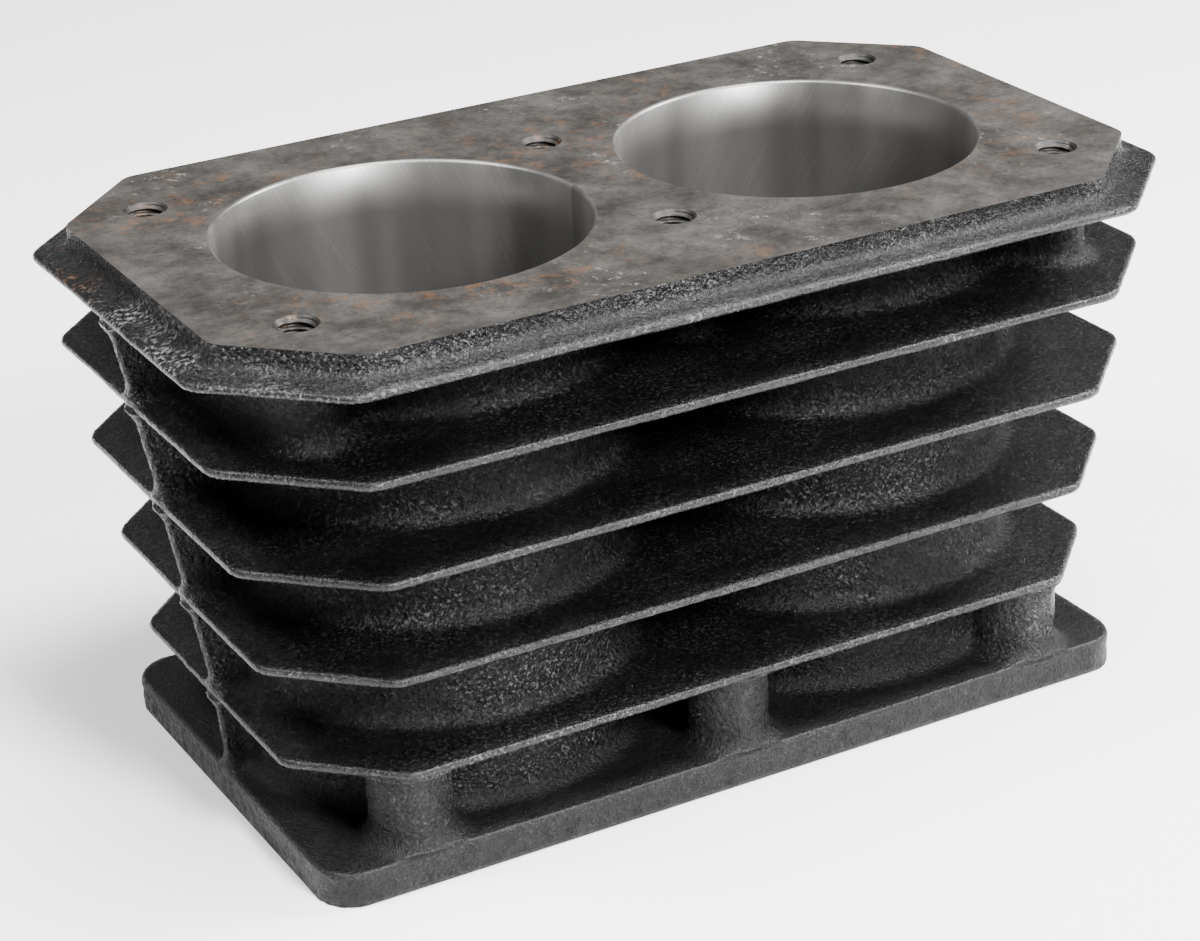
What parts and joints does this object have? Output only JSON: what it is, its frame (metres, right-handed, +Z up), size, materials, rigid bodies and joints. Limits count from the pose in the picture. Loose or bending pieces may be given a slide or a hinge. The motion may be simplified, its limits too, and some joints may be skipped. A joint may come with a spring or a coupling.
{
  "type": "twin-bore cylinder block",
  "caption": "Air-cooled cast-iron cylinder block with two side-by-side bores, tapered cooling fins, a machined tapped deck and a base flange.",
  "frame": {"origin": "centre of the underside of the base flange, midway between the two bores", "axes": "+X along the row of bores, +Y to the back, +Z up along the bores, towards the deck"},
  "size_m": [0.257, 0.1508, 0.1359],
  "materials": {
    "black_cast_iron": "rough sand-cast skin with thin black paint, glossy grains",
    "base_cast_iron": "rough sand-cast skin, thinner black paint, matt",
    "machined_deck": "milled flat, dull, with scuffs and specks of rust",
    "honed_bore": "bored and honed, fine crossed scratches"
  },
  "bodies": {
    "root": {"deck_plate": "machined_deck", "deck_flange": "black_cast_iron", "fin_1": "black_cast_iron", "fin_2": "black_cast_iron", "fin_3": "black_cast_iron", "fin_4": "black_cast_iron", "base_flange": "base_cast_iron", "barrel_left": "honed_bore", "barrel_right": "honed_bore", "barrel_web": "black_cast_iron", "end_rib_left": "black_cast_iron", "end_rib_right": "black_cast_iron", "deck_boss_front_left": "black_cast_iron", "deck_boss_front_middle": "black_cast_iron", "deck_boss_front_right": "black_cast_iron", "deck_boss_back_left": "black_cast_iron", "deck_boss_back_middle": "black_cast_iron", "deck_boss_back_right": "black_cast_iron", "base_boss_front_left": "black_cast_iron", "base_boss_front_middle": "black_cast_iron", "base_boss_front_right": "black_cast_iron", "base_boss_back_left": "black_cast_iron", "base_boss_back_middle": "black_cast_iron", "base_boss_back_right": "black_cast_iron"}
  },
  "joints": []
}
